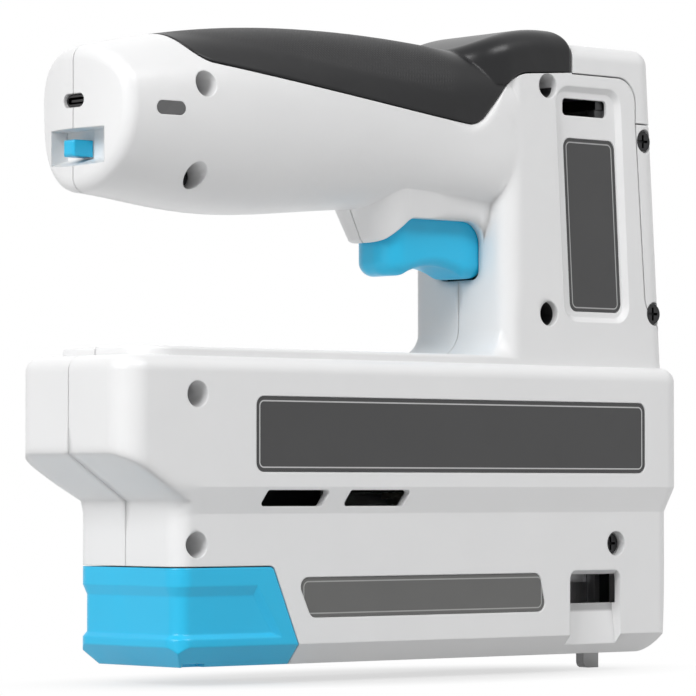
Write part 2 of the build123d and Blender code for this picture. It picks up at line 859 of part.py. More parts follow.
panel_slot = rounded([
    (panel_slot_rear, panel_slot_low), (panel_slot_front, panel_slot_low),
    (panel_slot_front, panel_slot_high), (panel_slot_rear, panel_slot_high),
], plate_corner / 2)
cuts.append(across(panel_slot, -column_half - wall, -column_half + wall + seam_depth))
scoop_side = face_of([
    (-deck_half, scoop_high), (-block_half, scoop_high), (-block_half + scoop_depth, scoop_high - foot_rib),
    (-block_half + scoop_depth, scoop_window_low), (-block_half + sole_bevel_width / 2, scoop_ramp_low),
    (-deck_half, scoop_ramp_low),
])
scoop_outline = face_of([
    (scoop_rear, scoop_ramp_low - wall), (scoop_front, scoop_ramp_low - wall),
    (scoop_front, scoop_high), (scoop_rear, scoop_high),
])
scoop_outline = fillet(scoop_outline.vertices().group_by(Axis.Y)[-1], scoop_corner)
scoop = along(scoop_side, scoop_rear, scoop_front) & across(scoop_outline, -deck_half, 0)
cuts.append(both_sides(scoop))
cuts.append(cap_region(cover_gap))
cuts.append(cover_region(cover_gap))
cuts.append(end_cap_region(slide_gap))
staple_half = driver_width / 2 + 2 * wall / 2
cuts.append(box(channel_front, nose_front + slide_gap, -staple_half, staple_half, -wall, 2 * wall))
cuts.append(box(foot_rear - slide_gap, foot_front + slide_gap, -foot_half - slide_gap, foot_half + slide_gap,
                -wall, 2 * wall))
pad_outline = plan(pad_rear, pad_front, pad_half, pad_corner, pad_corner)
pad_recess = plan(pad_rear - pad_gap, pad_front + pad_gap, pad_half + pad_gap, pad_corner, pad_corner)
cuts.append(upright(pad_recess, -wall, pad_thickness))
cuts.append(across(light_outline(pad_gap / 2), -deck_half, 0) - handle_form(light_depth))

# Posts that the cover screws run into, behind the wells of the cover
posts = []
front_lean = (column_front_low - column_front_high) / (head_top - deck_top)
for x, z in cover_wells:
    post_low = z - cover_boss_radius
    post_high = z + cover_boss_radius
    front = column_front_low - front_lean * (post_high - deck_top) - wall - slide_gap * 2
    arm = x - cover_boss_radius - slide_gap * 2
    face = -cover_boss_floor + seam_depth / 5
    posts.append(box(arm - boss_radius, arm, -column_half + wall / 2, face + seam_depth, post_low, post_high))
    posts.append(box(arm - boss_radius, front, face, face + cover_post_web, post_low, post_high))
    posts.append(box(arm, front, face, -cover_post_depth, post_low, post_high))
post_holes = [cross_rod(x, z, screw_radius, -cover_boss_floor, -cover_post_depth) for x, z in cover_wells]
post_holes = post_holes + [cross_rod(x, z, well_radius, -deck_half, -cover_boss_floor) for x, z in cover_wells]

casing = (outer - cavity) - cuts
casing = (casing + posts) - post_holes
groove = (outer & slab(-seam_width / 2, seam_width / 2)) - deck_form(seam_depth) - block_form(seam_depth)
groove = groove - tower_form(seam_depth) - handle_core
right_housing = (casing & slab(-reach, 0)) - groove
left_housing = (casing & slab(0, reach)) - groove

# Front cover and top cap: shells of the column in their own regions
tower_shell = tower - tower_hollow
cover_bosses = []
cover_holes = []
for x, z in cover_wells:
    boss = cross_rod(x, z, cover_boss_radius, -column_half - wall, -cover_boss_floor)
    inside = boss & tower_form(wall + slide_gap)
    cover_bosses.append((boss & tower & cover_region()) + inside)
    cover_holes.append(cross_rod(x, z, well_radius, -deck_half, -cover_well_floor))
    cover_holes.append(cross_rod(x, z, screw_radius, -cover_well_floor - wall, -cover_boss_floor + wall))
front_cover = (tower_shell & cover_region()) + cover_bosses
front_cover = front_cover - cap_region(cover_gap) - cover_holes
tongue_outer = column_half - wall - slide_gap
tongue_rear = head_rear + 2 * wall
tongue_front = cover_seam_high - 2 * wall
tongue_inner = tongue_outer - wall / 2
tongue = box(tongue_rear, tongue_front, tongue_inner, tongue_outer, column_top - wall, head_top - wall)
tongue = tongue + box(tongue_rear, tongue_front, tongue_inner, column_half - wall / 2,
                      column_top + slide_gap, head_top - 2 * wall)
top_cap = (tower_shell & cap_region()) + both_sides(tongue)

# Grip over the top of the handle
grip_skin = handle + dome_form()
grip = (grip_skin & grip_region(cover_gap)) - handle_core - tower - dome_form(wall)

# Bare plates let into the right side
plate_back = plate_recess - plate_thickness
side_plate = across(side_plate_outline(), -deck_half + plate_back, -deck_half + plate_recess)
rating_plate = across(rating_plate_outline(), -block_half + plate_back, -block_half + plate_recess)
panel_face = -column_half + panel_depth
column_plate = across(column_plate_outline(), panel_face + plate_back, panel_face + plate_recess)

# Charge light on the flank, and glide pad in the sole
charge_light = (across(light_outline(), -deck_half, 0) & handle) - handle_form(light_depth)
sole_pad = upright(pad_outline, 0, pad_thickness)

# Charging socket, its board and the power switch with its slider
board = box(board_rear, board_front, -board_half, board_half, board_low, board_top)
socket_front = handle_rear + seam_depth * 2
socket_shape = SlotOverall(2 * socket_half, socket_thickness)
socket_bore = SlotOverall(2 * socket_half - 2 * seam_depth, socket_thickness - 2 * seam_depth)
socket = along(Pos(0, socket_height) * socket_shape, socket_front, socket_front + socket_length)
socket = socket - along(Pos(0, socket_height) * socket_bore, socket_front, socket_front + socket_length - wall)
tongue_half = socket_half - 2 * seam_depth - slide_gap
socket = socket + box(socket_front + seam_depth, socket_front + socket_length - wall, -tongue_half, tongue_half,
                      socket_height - slide_gap, socket_height + slide_gap)
knob_low = knob_middle - knob_height / 2
knob_high = knob_middle + knob_height / 2
stem_end = switch_rear + wall
power_slider = box(knob_proud, pocket_floor - slide_gap, 0, knob_width, knob_low, knob_high)
power_slider = chamfer(power_slider.edges().group_by(Axis.X)[0], seam_depth)
power_slider = power_slider + box(pocket_floor - 2 * slide_gap, stem_end, stem_middle - stem_half,
                                  stem_middle + stem_half, knob_middle - stem_half, knob_middle + stem_half)
power_switch = box(switch_rear, switch_rear + power_switch_depth, -power_switch_half, power_switch_half,
                   power_switch_low, board_low)
power_switch = power_switch - box(switch_rear - wall, stem_end + slide_gap,
                                  stem_middle - stem_half - slide_gap,
                                  stem_middle + stem_half + slider_travel + slide_gap,
                                  knob_middle - stem_half - slide_gap, knob_middle + stem_half + slide_gap)

# Battery and its two contacts
battery = along(Pos(0, battery_height) * Circle(battery_radius), battery_rear, battery_front)
battery = fillet(battery.edges(), seam_depth)
rear_contact = along(Pos(0, battery_height) * Circle(contact_radius), contact_rear_x, battery_rear)
front_contact = along(Pos(0, battery_height) * Circle(contact_radius), battery_front, contact_front_x)

# Trigger, its pin, and the switch it presses
scallop_middle = (scallop_start + scallop_end) / 2
scallop_span = scallop_end - scallop_start
scallop_radius = (scallop_span ** 2 / 4 + scallop_depth ** 2) / (2 * scallop_depth)
trigger_side = face_of([
    (trigger_rear, trigger_low), (trigger_front, trigger_low), (trigger_front, trigger_top),
    (trigger_pin_x + trigger_knuckle, trigger_top), (trigger_pin_x + trigger_knuckle, trigger_pin_z),
    (trigger_pin_x - trigger_knuckle, trigger_pin_z), (trigger_rear, trigger_top),
])
heel = trigger_side.vertices().sort_by_distance((trigger_front, trigger_low, 0))[:1]
trigger_side = fillet(heel, trigger_heel_round)
trigger_side = trigger_side + Pos(trigger_pin_x, trigger_pin_z) * Circle(trigger_knuckle)
scallop = Pos(scallop_middle, trigger_low + scallop_depth - scallop_radius) * Circle(scallop_radius)
trigger_side = trigger_side - scallop
for place in (scallop_start, scallop_end):
    corner = trigger_side.vertices().sort_by_distance((place, trigger_low, 0))[:1]
    trigger_side = fillet(corner, trigger_heel_round)
trigger = across(trigger_side, -trigger_half, trigger_half)
trigger_foot = trigger.edges().filter_by(lambda edge: abs(edge.center().Y) > trigger_half - close_to)
trigger_foot = trigger_foot.filter_by(lambda edge: edge.center().Z < trigger_low + scallop_depth + seam_depth)
trigger = fillet(trigger_foot, trigger_edge)
trigger_length = trigger_front - trigger_rear
nose_plan = Pos(trigger_rear + trigger_length / 2, 0) * Rectangle(trigger_length, 2 * trigger_half)
nose_plan = fillet(nose_plan.vertices().group_by(Axis.X)[0], trigger_nose_radius)
nose = upright(nose_plan, trigger_low, trigger_pin_z + trigger_knuckle + wall)
nose_edges = nose.edges().group_by(Axis.Z)[0]
nose_edges = nose_edges.filter_by(lambda edge: edge.center().X < trigger_front - inner_corner)
trigger = trigger & fillet(nose_edges, trigger_nose_round)
trigger = trigger - cross_rod(trigger_pin_x, trigger_pin_z, trigger_pin_radius + running_gap, -reach, reach)
trigger_pin = cross_rod(trigger_pin_x, trigger_pin_z, trigger_pin_radius, -pin_half, pin_half)
trigger_lift = (plunger_x + plunger_radius) * math.sin(math.radians(trigger_swing))
plunger_low = trigger_top + trigger_gap
plunger = post(plunger_x, 0, plunger_radius, plunger_low, plunger_top)
flange_high = plunger_low + plunger_flange_height
plunger = plunger + post(plunger_x, 0, plunger_flange_radius, plunger_low, flange_high)
switch_bore = plunger_top + trigger_lift
trigger_switch = box(trigger_switch_rear, trigger_switch_rear + trigger_switch_length, -trigger_switch_half,
                     trigger_switch_half, trigger_switch_low, trigger_switch_low + trigger_switch_height)
trigger_switch = trigger_switch - post(plunger_x, 0, plunger_radius + running_gap,
                                       trigger_switch_low - wall, switch_bore)


def coil(radius, wire, turns, z_low, z_high):
    """Helical spring standing along Z, its wire just touching both ends."""
    pitch = (z_high - z_low - wire) / turns
    path = Helix(pitch, pitch, radius)
    section = Plane(origin=path @ 0, z_dir=path % 0) * Circle(wire / 2)
    turn = sweep(section, path, is_frenet=True)
    solid = turn
    for index in range(1, turns):
        solid = solid + Pos(0, 0, pitch * index) * turn
    return Pos(0, 0, z_low + wire / 2) * solid


trigger_spring = Pos(plunger_x, 0, 0) * coil(trigger_spring_radius, trigger_spring_wire, trigger_spring_turns,
                                             flange_high, trigger_switch_low)


def involute(angle):
    """Involute function of an angle in radians."""
    return math.tan(angle) - angle


def tooth_side(teeth, module):
    """Radius and half angle of a tooth at steps from its root to its tip."""
    pitch = teeth * module / 2
    base = pitch * math.cos(math.radians(pressure_angle))
    root = pitch - dedendum * module
    tip = pitch + addendum * module
    half = math.pi / (2 * teeth) - backlash / (4 * pitch)
    steps = 6
    flank = [(root, half + involute(math.radians(pressure_angle)))] if root < base else []
    start = max(root, base)
    for step in range(steps + 1):
        radius = start + (tip - start) * step / steps
        turn = half + involute(math.radians(pressure_angle)) - involute(math.acos(min(1.0, base / radius)))
        flank.append((radius, turn))
    return flank


def gear_outline(teeth, module, toward, kept=None):
    """Gear outline with one tooth pointing toward an angle in degrees; keeps only the first few if told."""
    flank = tooth_side(teeth, module)
    root = flank[0][0]
    sunk = root - module / 4
    outline = Circle(root)
    for index in range(kept if kept else teeth):
        middle = math.radians(toward) - 2 * math.pi * index / teeth
        start = flank[0][1]
        points = [(sunk * math.cos(middle - start), sunk * math.sin(middle - start))]
        for radius, turn in flank:
            points.append((radius * math.cos(middle - turn), radius * math.sin(middle - turn)))
        for radius, turn in reversed(flank):
            points.append((radius * math.cos(middle + turn), radius * math.sin(middle + turn)))
        points.append((sunk * math.cos(middle + start), sunk * math.sin(middle + start)))
        outline = outline + face_of(points)
    return outline


# Gear train: drive gear with its lifting sector, idler, and the plates and axles that carry them
to_idler = math.degrees(math.atan2(idler_z - drive_z, idler_x - drive_x))
to_motor = math.degrees(math.atan2(motor_z - idler_z, motor_x - idler_x))
drive_gear_high = drive_gear_low + gear_width
idler_gear_high = idler_gear_low + gear_width
drive_outline = gear_outline(drive_teeth, drive_module, to_idler)
sector_outline = gear_outline(sector_teeth, sector_module, 0, sector_kept)
drive_gear = across(drive_outline, drive_gear_low, drive_gear_high)
drive_gear = drive_gear + across(sector_outline, -sector_half_width, sector_half_width)
right_face = right_plate_y + gear_plate_thickness
hub_low = right_face + slide_gap
hub_high = left_plate_y - slide_gap
drive_gear = drive_gear + cross_rod(0, 0, hub_radius, hub_low, hub_high)
drive_gear = drive_gear - cross_rod(0, 0, drive_axle_radius + running_gap, -reach, reach)
drive_gear = Pos(drive_x, 0, drive_z) * drive_gear
small_phase = to_idler + 180 + 180 / idler_small_teeth
small_outline = gear_outline(idler_small_teeth, drive_module, small_phase)
large_outline = gear_outline(idler_large_teeth, pinion_module, to_motor)
idler_low = drive_gear_low - slide_gap
idler_gear = across(small_outline, idler_low, idler_gear_low)
idler_gear = idler_gear + across(large_outline, idler_gear_low, idler_gear_high)
idler_gear = idler_gear - cross_rod(0, 0, idler_axle_radius + running_gap, -reach, reach)
idler_gear = Pos(idler_x, 0, idler_z) * idler_gear
plate_outline = rounded([
    (plate_rear, gear_plate_low), (plate_front, gear_plate_low),
    (plate_front, gear_plate_high), (plate_rear, gear_plate_high),
], gear_plate_corner)
left_face = left_plate_y + gear_plate_thickness
axle_holes = [
    cross_rod(drive_x, drive_z, drive_axle_radius, -reach, reach),
    cross_rod(idler_x, idler_z, idler_axle_radius, -reach, reach),
]
right_gear_plate = across(plate_outline, right_plate_y, right_face) - axle_holes
left_gear_plate = across(plate_outline, left_plate_y, left_face) - axle_holes
drive_axle = cross_rod(drive_x, drive_z, drive_axle_radius, right_plate_y, left_face)
idler_axle = cross_rod(idler_x, idler_z, idler_axle_radius, right_plate_y, left_face)

# Motor and its rotor, with the pinion on the end of the shaft
motor = cross_rod(motor_x, motor_z, motor_radius, motor_low, motor_high)
motor = motor + cross_rod(motor_x, motor_z, motor_boss_radius, motor_high, motor_high + motor_boss)
motor = motor - cross_rod(motor_x, motor_z, motor_radius - motor_shell,
                          motor_low + motor_shell, motor_high - motor_shell)
shaft_bore = motor_shaft_radius + running_gap
motor = motor - cross_rod(motor_x, motor_z, shaft_bore, motor_low + motor_shell / 2, reach)
rotor = cross_rod(0, 0, armature_radius, motor_low + 2 * motor_shell, motor_high - 2 * motor_shell)
rotor = rotor + cross_rod(0, 0, motor_shaft_radius, motor_low + motor_shell, idler_gear_high)
pinion_phase = to_motor + 180 + 180 / pinion_teeth
rotor = rotor + across(gear_outline(pinion_teeth, pinion_module, pinion_phase), idler_gear_low, idler_gear_high)
rotor = Pos(motor_x, 0, motor_z) * rotor

# Hammer with its rack, driver blade, spring, rods and bumpers
rack_pitch = math.pi * sector_module
rack_root = rack_line + dedendum * sector_module
rack_tip = rack_line - addendum * sector_module
flank_slope = math.tan(math.radians(pressure_angle))
tooth_half = rack_pitch / 4 - backlash / 4
hammer = box(rack_root, hammer_front, -hammer_half, hammer_half, hammer_low, hammer_high)
rack = []
for index in range(rack_teeth):
    middle = drive_z + rack_pitch / 2 - rack_pitch * index
    at_root = tooth_half + (rack_root - rack_line) * flank_slope
    at_tip = tooth_half - (rack_line - rack_tip) * flank_slope
    tooth = face_of([
        (rack_root + seam_depth, middle - at_root), (rack_root, middle - at_root), (rack_tip, middle - at_tip),
        (rack_tip, middle + at_tip), (rack_root, middle + at_root), (rack_root + seam_depth, middle + at_root),
    ])
    rack.append(across(tooth, -hammer_half, hammer_half))
crosshead_rear = rod_x - crosshead_depth / 2
crosshead_front = rod_x + crosshead_depth / 2
crosshead_high = hammer_low + crosshead_height
hammer = hammer + rack
hammer = hammer + box(crosshead_rear, crosshead_front, -crosshead_half, crosshead_half,
                      hammer_low, crosshead_high)
driver_rear = driver_x - driver_thickness / 2
driver_front = driver_x + driver_thickness / 2
driver = box(driver_rear, driver_front, -driver_width / 2, driver_width / 2, driver_tip, crosshead_high)
hammer = hammer - driver
hammer = hammer - [post(rod_x, side * rod_y, rod_radius + running_gap, 0, reach) for side in (-1, 1)]
hammer_spring = Pos(rod_x, 0, 0) * coil(spring_radius, spring_wire, spring_turns, hammer_high, spring_seat_low)
seat_high = spring_seat_low + spring_seat_thickness
seat_half = column_half - wall - slide_gap
rod_low = guide_block_low + wall / 2
right_rod = post(rod_x, -rod_y, rod_radius, rod_low, seat_high)
left_rod = post(rod_x, rod_y, rod_radius, rod_low, seat_high)
spring_seat = box(seat_rear, seat_front, -seat_half, seat_half, spring_seat_low, seat_high)
spring_seat = spring_seat - [right_rod, left_rod]
bumper_high = hammer_low - slide_gap
right_bumper = post(rod_x, -rod_y, bumper_radius, guide_block_high, bumper_high) - right_rod
left_bumper = post(rod_x, rod_y, bumper_radius, guide_block_high, bumper_high) - left_rod
guide_block = box(guide_block_rear, guide_block_front, -guide_block_half, guide_block_half,
                  guide_block_low, guide_block_high)
guide_block = guide_block - [right_rod, left_rod]
guide_half = driver_width / 2 + running_gap
guide_block = guide_block - box(driver_rear - running_gap, driver_front + running_gap, -guide_half, guide_half,
                                0, reach)
block_screw_end = -guide_block_half + 2 * wall
guide_block = guide_block - cross_rod(*block_well, screw_radius, -block_half, block_screw_end)
nose_plate = box(nose_rear, nose_front, -nose_plate_half, nose_plate_half, wall, guide_block_low)

# Contact foot at the nose, with its spring
foot = box(foot_rear, foot_front, -foot_half, foot_half, -foot_reach, wall + 2 * slide_gap)
toe_edges = foot.edges().filter_by(Axis.Y).group_by(Axis.Z)[0]
foot = fillet(toe_edges.sort_by(Axis.X)[:1], foot_rib)
foot = foot + box(foot_rear, foot_front, -foot_body_half, foot_body_half, wall + slide_gap, foot_body_top)
foot_middle = (foot_rear + foot_front) / 2
foot_spring = Pos(foot_middle, 0, 0) * coil(foot_spring_radius, foot_spring_wire, foot_spring_turns,
                                            foot_body_top, guide_block_low)

# Magazine: channel with the blue end cap, and the pusher with its coil
channel_floor = channel_low + channel_sheet
channel = box(channel_rear, channel_front, -channel_half, channel_half, channel_low, channel_high)
channel = channel - box(channel_rear - wall, channel_front + wall, -channel_half + channel_sheet,
                        channel_half - channel_sheet, channel_floor, channel_high + wall)
cap_skin = block & end_cap_region()
cap_hollow = block_form(end_cap_wall) & box(block_rear, end_cap_front_low + wall, -block_half, block_half,
                                            end_cap_wall, end_cap_top - end_cap_wall)
core_half = channel_half + wall
cap_core = box(block_rear + sole_bevel_width, end_cap_core_front, -core_half, core_half,
               wall / 2, end_cap_top - wall)
end_cap = (cap_skin - cap_hollow) + cap_core
end_cap = end_cap - box(channel_rear, end_cap_front_low + wall, -channel_half, channel_half,
                        channel_low, channel_high)
groove_front_high = end_cap_front_high - groove_margin
groove_front_low = end_cap_front_low - groove_margin
groove_floor_low = groove_low + groove_slope / 2
groove_floor_high = groove_high - groove_slope
grooved_half = block_half - groove_depth


def groove_plan(inset, z):
    """Plan of the end cap set in by the depth of its groove, at a height."""
    return Pos(0, 0, z) * plan(block_rear + inset, block_front, block_half - inset, block_rear_radius - inset,
                               block_front_radius)


groove_core = loft([groove_plan(0, groove_low), groove_plan(groove_depth, groove_floor_low)], ruled=True)
groove_core = groove_core + loft([groove_plan(groove_depth, groove_floor_low),
                                  groove_plan(groove_depth, groove_floor_high)], ruled=True)
groove_core = groove_core + loft([groove_plan(groove_depth, groove_floor_high),
                                  groove_plan(0, groove_high)], ruled=True)


def groove_side(retreat):
    """Side outline of the groove, its slanted front end drawn back."""
    return face_of([
        (block_rear - wall, groove_low), (groove_front_low - retreat, groove_low),
        (groove_front_high - retreat, groove_high), (block_rear - wall, groove_high),
    ])


groove_ring = loft([Plane.XZ.offset(block_half) * groove_side(0),
                    Plane.XZ.offset(grooved_half) * groove_side(2 * groove_depth)], ruled=True)
groove_ring = both_sides(groove_ring) + box(block_rear - wall, block_rear + block_rear_radius, -grooved_half,
                                            grooved_half, groove_low, groove_high)
end_cap = end_cap - (groove_ring - groove_core)
notch = box(pad_notch_x - pad_notch_width / 2, pad_notch_x + pad_notch_width / 2, -block_half,
            -channel_half * 2, -wall, pad_notch_depth)
end_cap = end_cap - both_sides(notch)
pusher_half = channel_half - channel_sheet - slide_gap
pusher_front = channel_front - slide_gap
pusher_rear = pusher_front - pusher_length
pusher_low = channel_floor + slide_gap
pusher = box(pusher_rear, pusher_front, -pusher_half, pusher_half, pusher_low, pusher_low + pusher_height)
coil_x = (pusher_rear + pusher_front) / 2
coil_z = pusher_low + pusher_height / 2
coil_room = coil_width / 2 + slide_gap
pusher = pusher - cross_rod(coil_x, coil_z, coil_radius + slide_gap, -coil_room, coil_room)
pusher = pusher + cross_rod(coil_x, coil_z, coil_bore, -coil_room - seam_depth, coil_room + seam_depth)
pusher_coil = cross_rod(coil_x, coil_z, coil_radius, -coil_width / 2, coil_width / 2)
pusher_coil = pusher_coil - cross_rod(coil_x, coil_z, coil_bore, -reach, reach)


def screw(x, z, head_end, shank_end):
    """Screw along Y: round head in its well, with a cross recess, and a plain shank."""
    head_start = head_end - screw_head_height
    solid = cross_rod(x, z, screw_head_radius, head_start, head_end)
    solid = solid + cross_rod(x, z, screw_radius, head_end, shank_end)
    arm = screw_head_radius * 2 / 3
    thin = screw_radius / 4
    for wide, tall in ((arm, thin), (thin, arm)):
        recess = head_start + screw_head_height / 2
        solid = solid - box(x - wide, x + wide, head_start - wall, recess, z - tall, z + tall)
    return solid


nodes = {
    "right_housing": right_housing, "left_housing": left_housing, "front_cover": front_cover,
    "top_cap": top_cap, "grip": grip, "side_plate": side_plate, "rating_plate": rating_plate,
    "column_plate": column_plate, "charge_light": charge_light, "sole_pad": sole_pad, "board": board,
    "socket": socket, "power_switch": power_switch, "power_slider": power_slider, "battery": battery,
    "rear_contact": rear_contact, "front_contact": front_contact, "trigger": trigger,
    "trigger_pin": trigger_pin, "plunger": plunger, "trigger_switch": trigger_switch,
    "trigger_spring": trigger_spring, "drive_gear": drive_gear, "idler_gear": idler_gear,
    "right_gear_plate": right_gear_plate, "left_gear_plate": left_gear_plate, "drive_axle": drive_axle,
    "idler_axle": idler_axle, "motor": motor, "rotor": rotor, "hammer": hammer, "driver": driver,
    "hammer_spring": hammer_spring, "right_rod": right_rod, "left_rod": left_rod,
    "spring_seat": spring_seat, "right_bumper": right_bumper, "left_bumper": left_bumper,
    "guide_block": guide_block, "nose_plate": nose_plate, "foot": foot, "foot_spring": foot_spring,
    "channel": channel, "end_cap": end_cap, "pusher": pusher, "pusher_coil": pusher_coil,
}
for index, (x, z) in enumerate(casing_wells):
    nodes[f"casing_screw_{index + 1}"] = screw(x, z, -well_floor, screw_reach)
nodes["block_screw"] = screw(*block_well, -block_well_floor, block_screw_end)
for index, (x, z) in enumerate(cover_wells):
    nodes[f"cover_screw_{index + 1}"] = screw(x, z, -cover_well_floor, -cover_post_depth)

os.makedirs("parts", exist_ok=True)
for name, solid in nodes.items():
    export_step(solid, f"parts/{name}.step")
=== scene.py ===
import bpy
import math
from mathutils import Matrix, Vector


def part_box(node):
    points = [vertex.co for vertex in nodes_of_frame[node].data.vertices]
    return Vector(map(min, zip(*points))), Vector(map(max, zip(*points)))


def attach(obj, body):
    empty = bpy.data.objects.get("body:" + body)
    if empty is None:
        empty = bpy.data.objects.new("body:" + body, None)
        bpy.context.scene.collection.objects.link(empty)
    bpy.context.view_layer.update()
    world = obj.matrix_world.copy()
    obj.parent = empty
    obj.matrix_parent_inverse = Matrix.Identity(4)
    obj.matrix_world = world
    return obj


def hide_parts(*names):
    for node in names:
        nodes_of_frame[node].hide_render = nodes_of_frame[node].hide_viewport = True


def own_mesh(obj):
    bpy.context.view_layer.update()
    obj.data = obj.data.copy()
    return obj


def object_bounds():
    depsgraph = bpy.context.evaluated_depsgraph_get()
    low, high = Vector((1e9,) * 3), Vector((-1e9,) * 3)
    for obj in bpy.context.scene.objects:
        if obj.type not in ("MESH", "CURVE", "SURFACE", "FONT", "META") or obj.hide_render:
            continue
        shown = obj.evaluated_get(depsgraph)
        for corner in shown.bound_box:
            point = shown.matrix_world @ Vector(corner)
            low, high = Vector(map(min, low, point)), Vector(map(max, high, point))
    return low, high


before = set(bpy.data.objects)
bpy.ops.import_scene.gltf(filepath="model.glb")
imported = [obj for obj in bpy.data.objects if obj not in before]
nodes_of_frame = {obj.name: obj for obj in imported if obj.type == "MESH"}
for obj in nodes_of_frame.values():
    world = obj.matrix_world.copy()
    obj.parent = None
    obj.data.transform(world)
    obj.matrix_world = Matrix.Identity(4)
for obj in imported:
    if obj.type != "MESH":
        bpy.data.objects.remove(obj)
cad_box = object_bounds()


# Casing halves, front cover and top cap: white ABS shells, injection moulded with a fine satin grain.
# Two halves close on the middle plane with screws in deep wells; cover and cap slip over the head.
def new_group(name, inputs, outputs):
    group = bpy.data.node_groups.new(name, "ShaderNodeTree")
    for label, kind, value in inputs:
        socket = group.interface.new_socket(label, in_out="INPUT", socket_type=kind)
        socket.default_value = value
    for label, kind in outputs:
        group.interface.new_socket(label, in_out="OUTPUT", socket_type=kind)
    start = group.nodes.new("NodeGroupInput")
    end = group.nodes.new("NodeGroupOutput")
    return group, start, end


def join(tree, source, target):
    tree.links.new(source, target)


def moulded_grain_group():
    """Fine pebbled grain of a spark-eroded mould, and broad soft unevenness of the wall."""
    group, start, end = new_group(
        "moulded grain",
        [("Grain Size", "NodeSocketFloat", 0.0005), ("Unevenness", "NodeSocketFloat", 0.3)],
        [("Height", "NodeSocketFloat"), ("Tone", "NodeSocketFloat")],
    )
    place = group.nodes.new("ShaderNodeTexCoord")
    inverse = group.nodes.new("ShaderNodeMath")
    inverse.operation = "DIVIDE"
    inverse.inputs[0].default_value = 1.0
    join(group, start.outputs["Grain Size"], inverse.inputs[1])
    pebbles = group.nodes.new("ShaderNodeTexNoise")
    pebbles.inputs["Detail"].default_value = 2.0
    join(group, place.outputs["Object"], pebbles.inputs["Vector"])
    join(group, inverse.outputs[0], pebbles.inputs["Scale"])
    broad = group.nodes.new("ShaderNodeTexNoise")
    broad.inputs["Scale"].default_value = 45.0
    broad.inputs["Detail"].default_value = 1.0
    join(group, place.outputs["Object"], broad.inputs["Vector"])
    weight = group.nodes.new("ShaderNodeMath")
    weight.operation = "MULTIPLY_ADD"
    join(group, broad.outputs["Fac"], weight.inputs[0])
    join(group, start.outputs["Unevenness"], weight.inputs[1])
    join(group, pebbles.outputs["Fac"], weight.inputs[2])
    join(group, weight.outputs[0], end.inputs["Height"])
    join(group, broad.outputs["Fac"], end.inputs["Tone"])
    return group


def handling_marks_group():
    """Faint smears and fine rubs left by hands and a bench, which change the gloss."""
    group, start, end = new_group(
        "handling marks",
        [("Spread", "NodeSocketFloat", 60.0)],
        [("Mask", "NodeSocketFloat")],
    )
    place = group.nodes.new("ShaderNodeTexCoord")
    smear = group.nodes.new("ShaderNodeTexNoise")
    smear.inputs["Detail"].default_value = 6.0
    smear.inputs["Roughness"].default_value = 0.62
    smear.inputs["Distortion"].default_value = 0.8
    join(group, place.outputs["Object"], smear.inputs["Vector"])
    join(group, start.outputs["Spread"], smear.inputs["Scale"])
    clip = group.nodes.new("ShaderNodeMapRange")
    clip.interpolation_type = "SMOOTHSTEP"
    clip.inputs["From Min"].default_value = 0.45
    clip.inputs["From Max"].default_value = 0.72
    join(group, smear.outputs["Fac"], clip.inputs["Value"])
    join(group, clip.outputs["Result"], end.inputs["Mask"])
    return group


moulded_grain = moulded_grain_group()
handling_marks = handling_marks_group()


def place_group(tree, group, **values):
    node = tree.nodes.new("ShaderNodeGroup")
    node.node_tree = group
    for label, value in values.items():
        node.inputs[label.replace("_", " ")].default_value = value
    return node


def span(tree, source, low, high):
    """Map a value that runs from 0 to 1 onto a narrower band."""
    node = tree.nodes.new("ShaderNodeMapRange")
    node.inputs["To Min"].default_value = low
    node.inputs["To Max"].default_value = high
    join(tree, source, node.inputs["Value"])
    return node.outputs["Result"]


def two_tone(tree, mask, first, second):
    node = tree.nodes.new("ShaderNodeMix")
    node.data_type = "RGBA"
    node.inputs["A"].default_value = (*first, 1.0)
    node.inputs["B"].default_value = (*second, 1.0)
    join(tree, mask, node.inputs["Factor"])
    return node.outputs["Result"]


def soft_edges(tree, radius):
    """Moulded edges are never quite sharp, so they catch a thin line of light."""
    node = tree.nodes.new("ShaderNodeBevel")
    node.samples = 8
    if isinstance(radius, float):
        node.inputs["Radius"].default_value = radius
    else:
        join(tree, radius, node.inputs["Radius"])
    return node.outputs["Normal"]


def bumped(tree, height, strength, distance, normal=None):
    node = tree.nodes.new("ShaderNodeBump")
    node.inputs["Strength"].default_value = strength
    node.inputs["Distance"].default_value = distance
    join(tree, height, node.inputs["Height"])
    if normal is not None:
        join(tree, normal, node.inputs["Normal"])
    return node.outputs["Normal"]


def finish_material(name):
    material = bpy.data.materials.new(name)
    material.use_nodes = True
    tree = material.node_tree
    return material, tree, tree.nodes["Principled BSDF"]


def moulded_plastic(name, tone, deep, gloss, worn_gloss, grain, edge=0.0005):
    """Injection moulded plastic in one colour."""
    material, tree, skin = finish_material(name)
    texture = place_group(tree, moulded_grain, Grain_Size=grain)
    marks = place_group(tree, handling_marks, Spread=48.0)
    join(tree, two_tone(tree, texture.outputs["Tone"], deep, tone), skin.inputs["Base Color"])
    join(tree, span(tree, marks.outputs["Mask"], gloss, worn_gloss), skin.inputs["Roughness"])
    edges = soft_edges(tree, edge)
    normal = bumped(tree, texture.outputs["Height"], strength=0.12, distance=0.00006, normal=edges)
    join(tree, normal, skin.inputs["Normal"])
    skin.inputs["IOR"].default_value = 1.5
    return material


def dress(material, *names):
    for name in names:
        shown = nodes_of_frame[name].data.materials
        shown.clear()
        shown.append(material)


